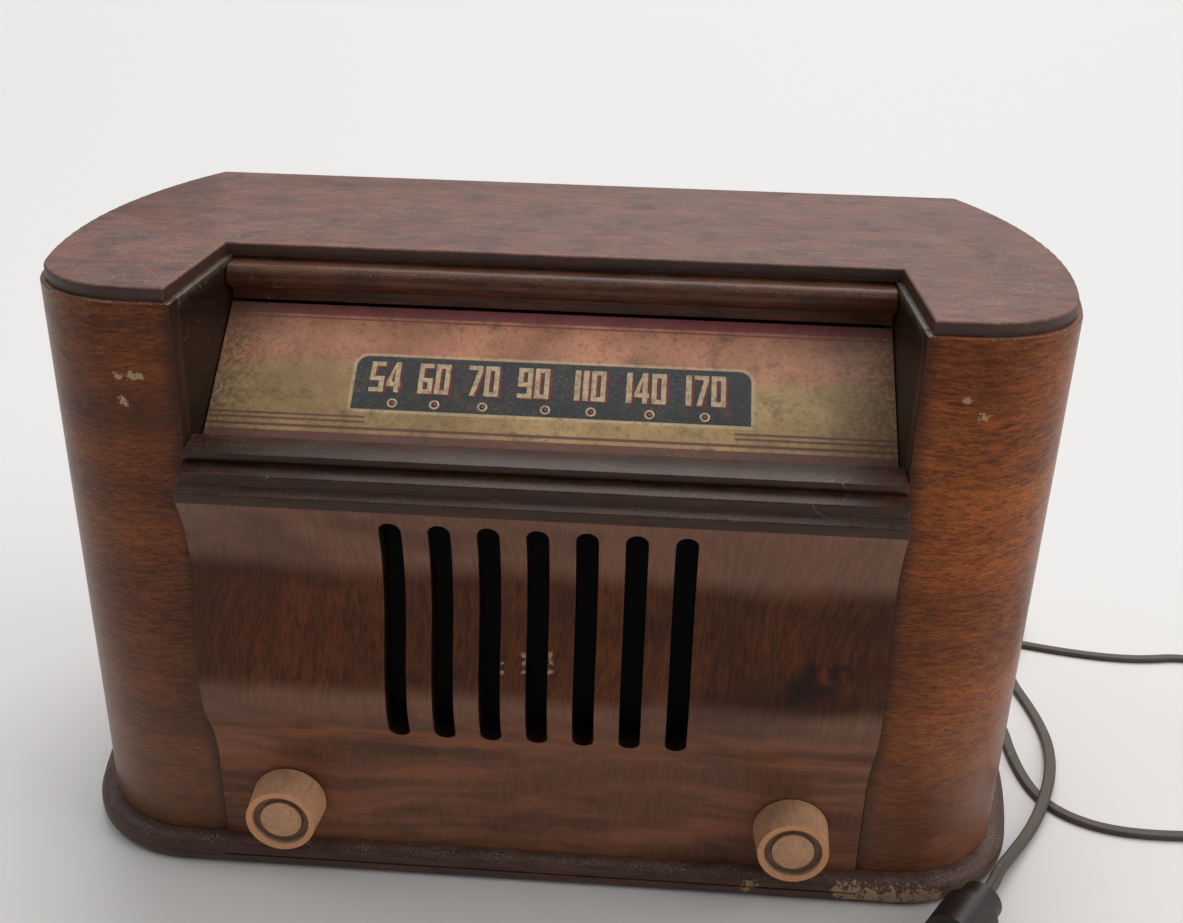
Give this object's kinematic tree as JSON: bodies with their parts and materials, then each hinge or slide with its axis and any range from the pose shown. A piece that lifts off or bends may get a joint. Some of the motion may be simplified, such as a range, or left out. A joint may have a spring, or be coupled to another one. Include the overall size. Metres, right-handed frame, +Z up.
{
  "type": "table radio",
  "caption": "Wooden table radio with bent side wraps, a sloped dial in a stepped bay, a slotted S-curved front, two round knobs and a flat twin lead with a plug.",
  "frame": {"origin": "middle of the cabinet and its knobs, on the surface that the base board stands on", "axes": "+Z up, +X to the right as seen from the front, -Y towards the listener"},
  "size_m": [0.6406, 0.3409, 0.261],
  "materials": {
    "wrap_veneer": "satin lacquer over straight-grained veneer, worn at the lower edge",
    "top_veneer": "dull, dusty lacquer",
    "panel_veneer": "satin lacquer over figured veneer",
    "stained_wood": "dark toned lacquer, dusty on top",
    "base_wood": "dark toned lacquer, chipped at the corners",
    "plain_wood": "bare softwood",
    "hardboard": "bare pressed board",
    "printed_glass": "opaque printed back, glossy front",
    "white_enamel": "gloss enamel",
    "pointer_red": "gloss paint",
    "lamp_glass": "clear",
    "grille_cloth": "plain woven, very dark",
    "speaker_steel": "black enamel",
    "cone_paper": "pressed pulp",
    "magnet_iron": "plain",
    "plated_steel": "dull plating",
    "winding": "varnished core and winding",
    "bare_aluminium": "bare",
    "fibre_drum": "pressed fibre",
    "shaft_steel": "turned",
    "bush_brass": "turned",
    "knob_plastic": "mottled tan, dusty sides",
    "socket_plastic": "moulded",
    "valve_base": "moulded",
    "valve_glass": "clear, silvered at the top",
    "wax_card": "waxed",
    "grommet_rubber": "aged",
    "cord_rubber": "aged, dusty, flat twin",
    "tie_tape": "woven tape",
    "plug_rubber": "aged",
    "pin_brass": "dull"
  },
  "bodies": {
    "cabinet": {"base_board": "base_wood", "left_side_wrap": "wrap_veneer", "right_side_wrap": "wrap_veneer", "top_board": "top_veneer", "left_cheek": "stained_wood", "right_cheek": "stained_wood", "header_moulding": "stained_wood", "sill_moulding": "stained_wood", "front_panel": "panel_veneer", "corner_blocks": "plain_wood", "rear_battens": "plain_wood", "dial_glass": "printed_glass", "dial_reflector": "white_enamel", "pointer_rail": "shaft_steel", "dial_lamps": "lamp_glass", "speaker_baffle": "hardboard", "grille_cloth": "grille_cloth", "speaker_frame": "speaker_steel", "speaker_cone": "cone_paper", "speaker_magnet": "magnet_iron", "output_transformer": "winding", "chassis": "plated_steel", "chassis_bolts": "shaft_steel", "tuning_capacitor": "bare_aluminium", "tuning_shaft_bush": "bush_brass", "volume_control": "plated_steel", "tube_sockets": "socket_plastic", "tube_bases": "valve_base", "tube_glass": "valve_glass", "if_cans": "bare_aluminium", "filter_capacitor": "wax_card", "rear_cover": "hardboard", "rear_cover_screws": "shaft_steel", "loop_aerial": "wax_card", "cord_grommet": "grommet_rubber", "power_cord": "cord_rubber", "power_cord_coil": "cord_rubber", "power_cord_tail": "cord_rubber", "cord_tie": "tie_tape", "plug_body": "plug_rubber", "plug_pins": "pin_brass"},
    "volume_set": {"volume_knob": "knob_plastic", "volume_shaft": "shaft_steel"},
    "tuning_set": {"tuning_knob": "knob_plastic", "tuning_shaft": "shaft_steel"},
    "drum_set": {"dial_drum": "fibre_drum", "capacitor_rotor": "bare_aluminium"},
    "pointer_set": {"dial_pointer": "pointer_red"}
  },
  "joints": [
    {"name": "volume_turn", "type": "hinge", "parent": "cabinet", "child": "volume_set", "pos_m": [-0.1085, -0.103, 0.034], "axis": [0, 1, 0], "range_deg": [0, 300]},
    {"name": "drum_turn", "type": "hinge", "parent": "cabinet", "child": "drum_set", "pos_m": [0.095, -0.051, 0.104], "axis": [0, 1, 0], "range_deg": [-90, 90]},
    {"name": "tuning_turn", "type": "hinge", "parent": "cabinet", "child": "tuning_set", "pos_m": [0.1085, -0.103, 0.034], "axis": [0, 1, 0], "range_deg": [-1260, 1260]},
    {"name": "pointer_slide", "type": "slide", "parent": "cabinet", "child": "pointer_set", "axis": [1, 0, 0], "range_m": [-0.066, 0.066]}
  ],
  "couplings": [
    {"joint": "tuning_turn", "follows": "drum_turn", "ratio": 14},
    {"joint": "pointer_slide", "follows": "drum_turn", "m_per_rad": 0.042}
  ]
}
